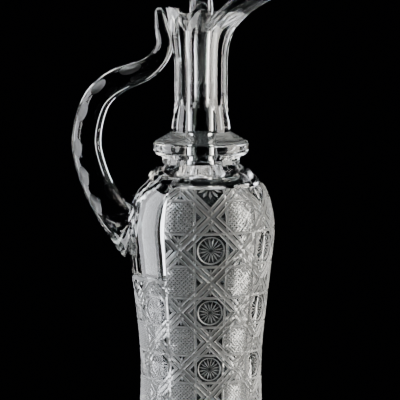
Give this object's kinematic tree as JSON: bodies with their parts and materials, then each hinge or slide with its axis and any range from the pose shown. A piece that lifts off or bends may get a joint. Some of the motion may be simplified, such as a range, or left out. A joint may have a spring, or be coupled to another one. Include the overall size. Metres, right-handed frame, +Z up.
{
  "type": "decanter",
  "caption": "Tall cut-glass handled decanter with a fluted neck, pouring lip, neck ring and loose ground stopper, for serving wine or spirits at table.",
  "frame": {"origin": "centre of the base, on the surface that the decanter stands on", "axes": "+Z up along the vessel's axis, +X towards the pouring lip, so the handle is on -X"},
  "size_m": [0.1495, 0.1008, 0.362],
  "materials": {
    "crystal": "clear lead crystal, cut and polished"
  },
  "bodies": {
    "vessel": {"vessel": "crystal", "neck_ring": "crystal", "handle": "crystal"},
    "stopper": {"stopper": "crystal"}
  },
  "joints": [
    {"name": "stopper_lift", "type": "slide", "parent": "vessel", "child": "stopper", "axis": [0, 0, 1], "range_m": [0, 0.12]}
  ]
}
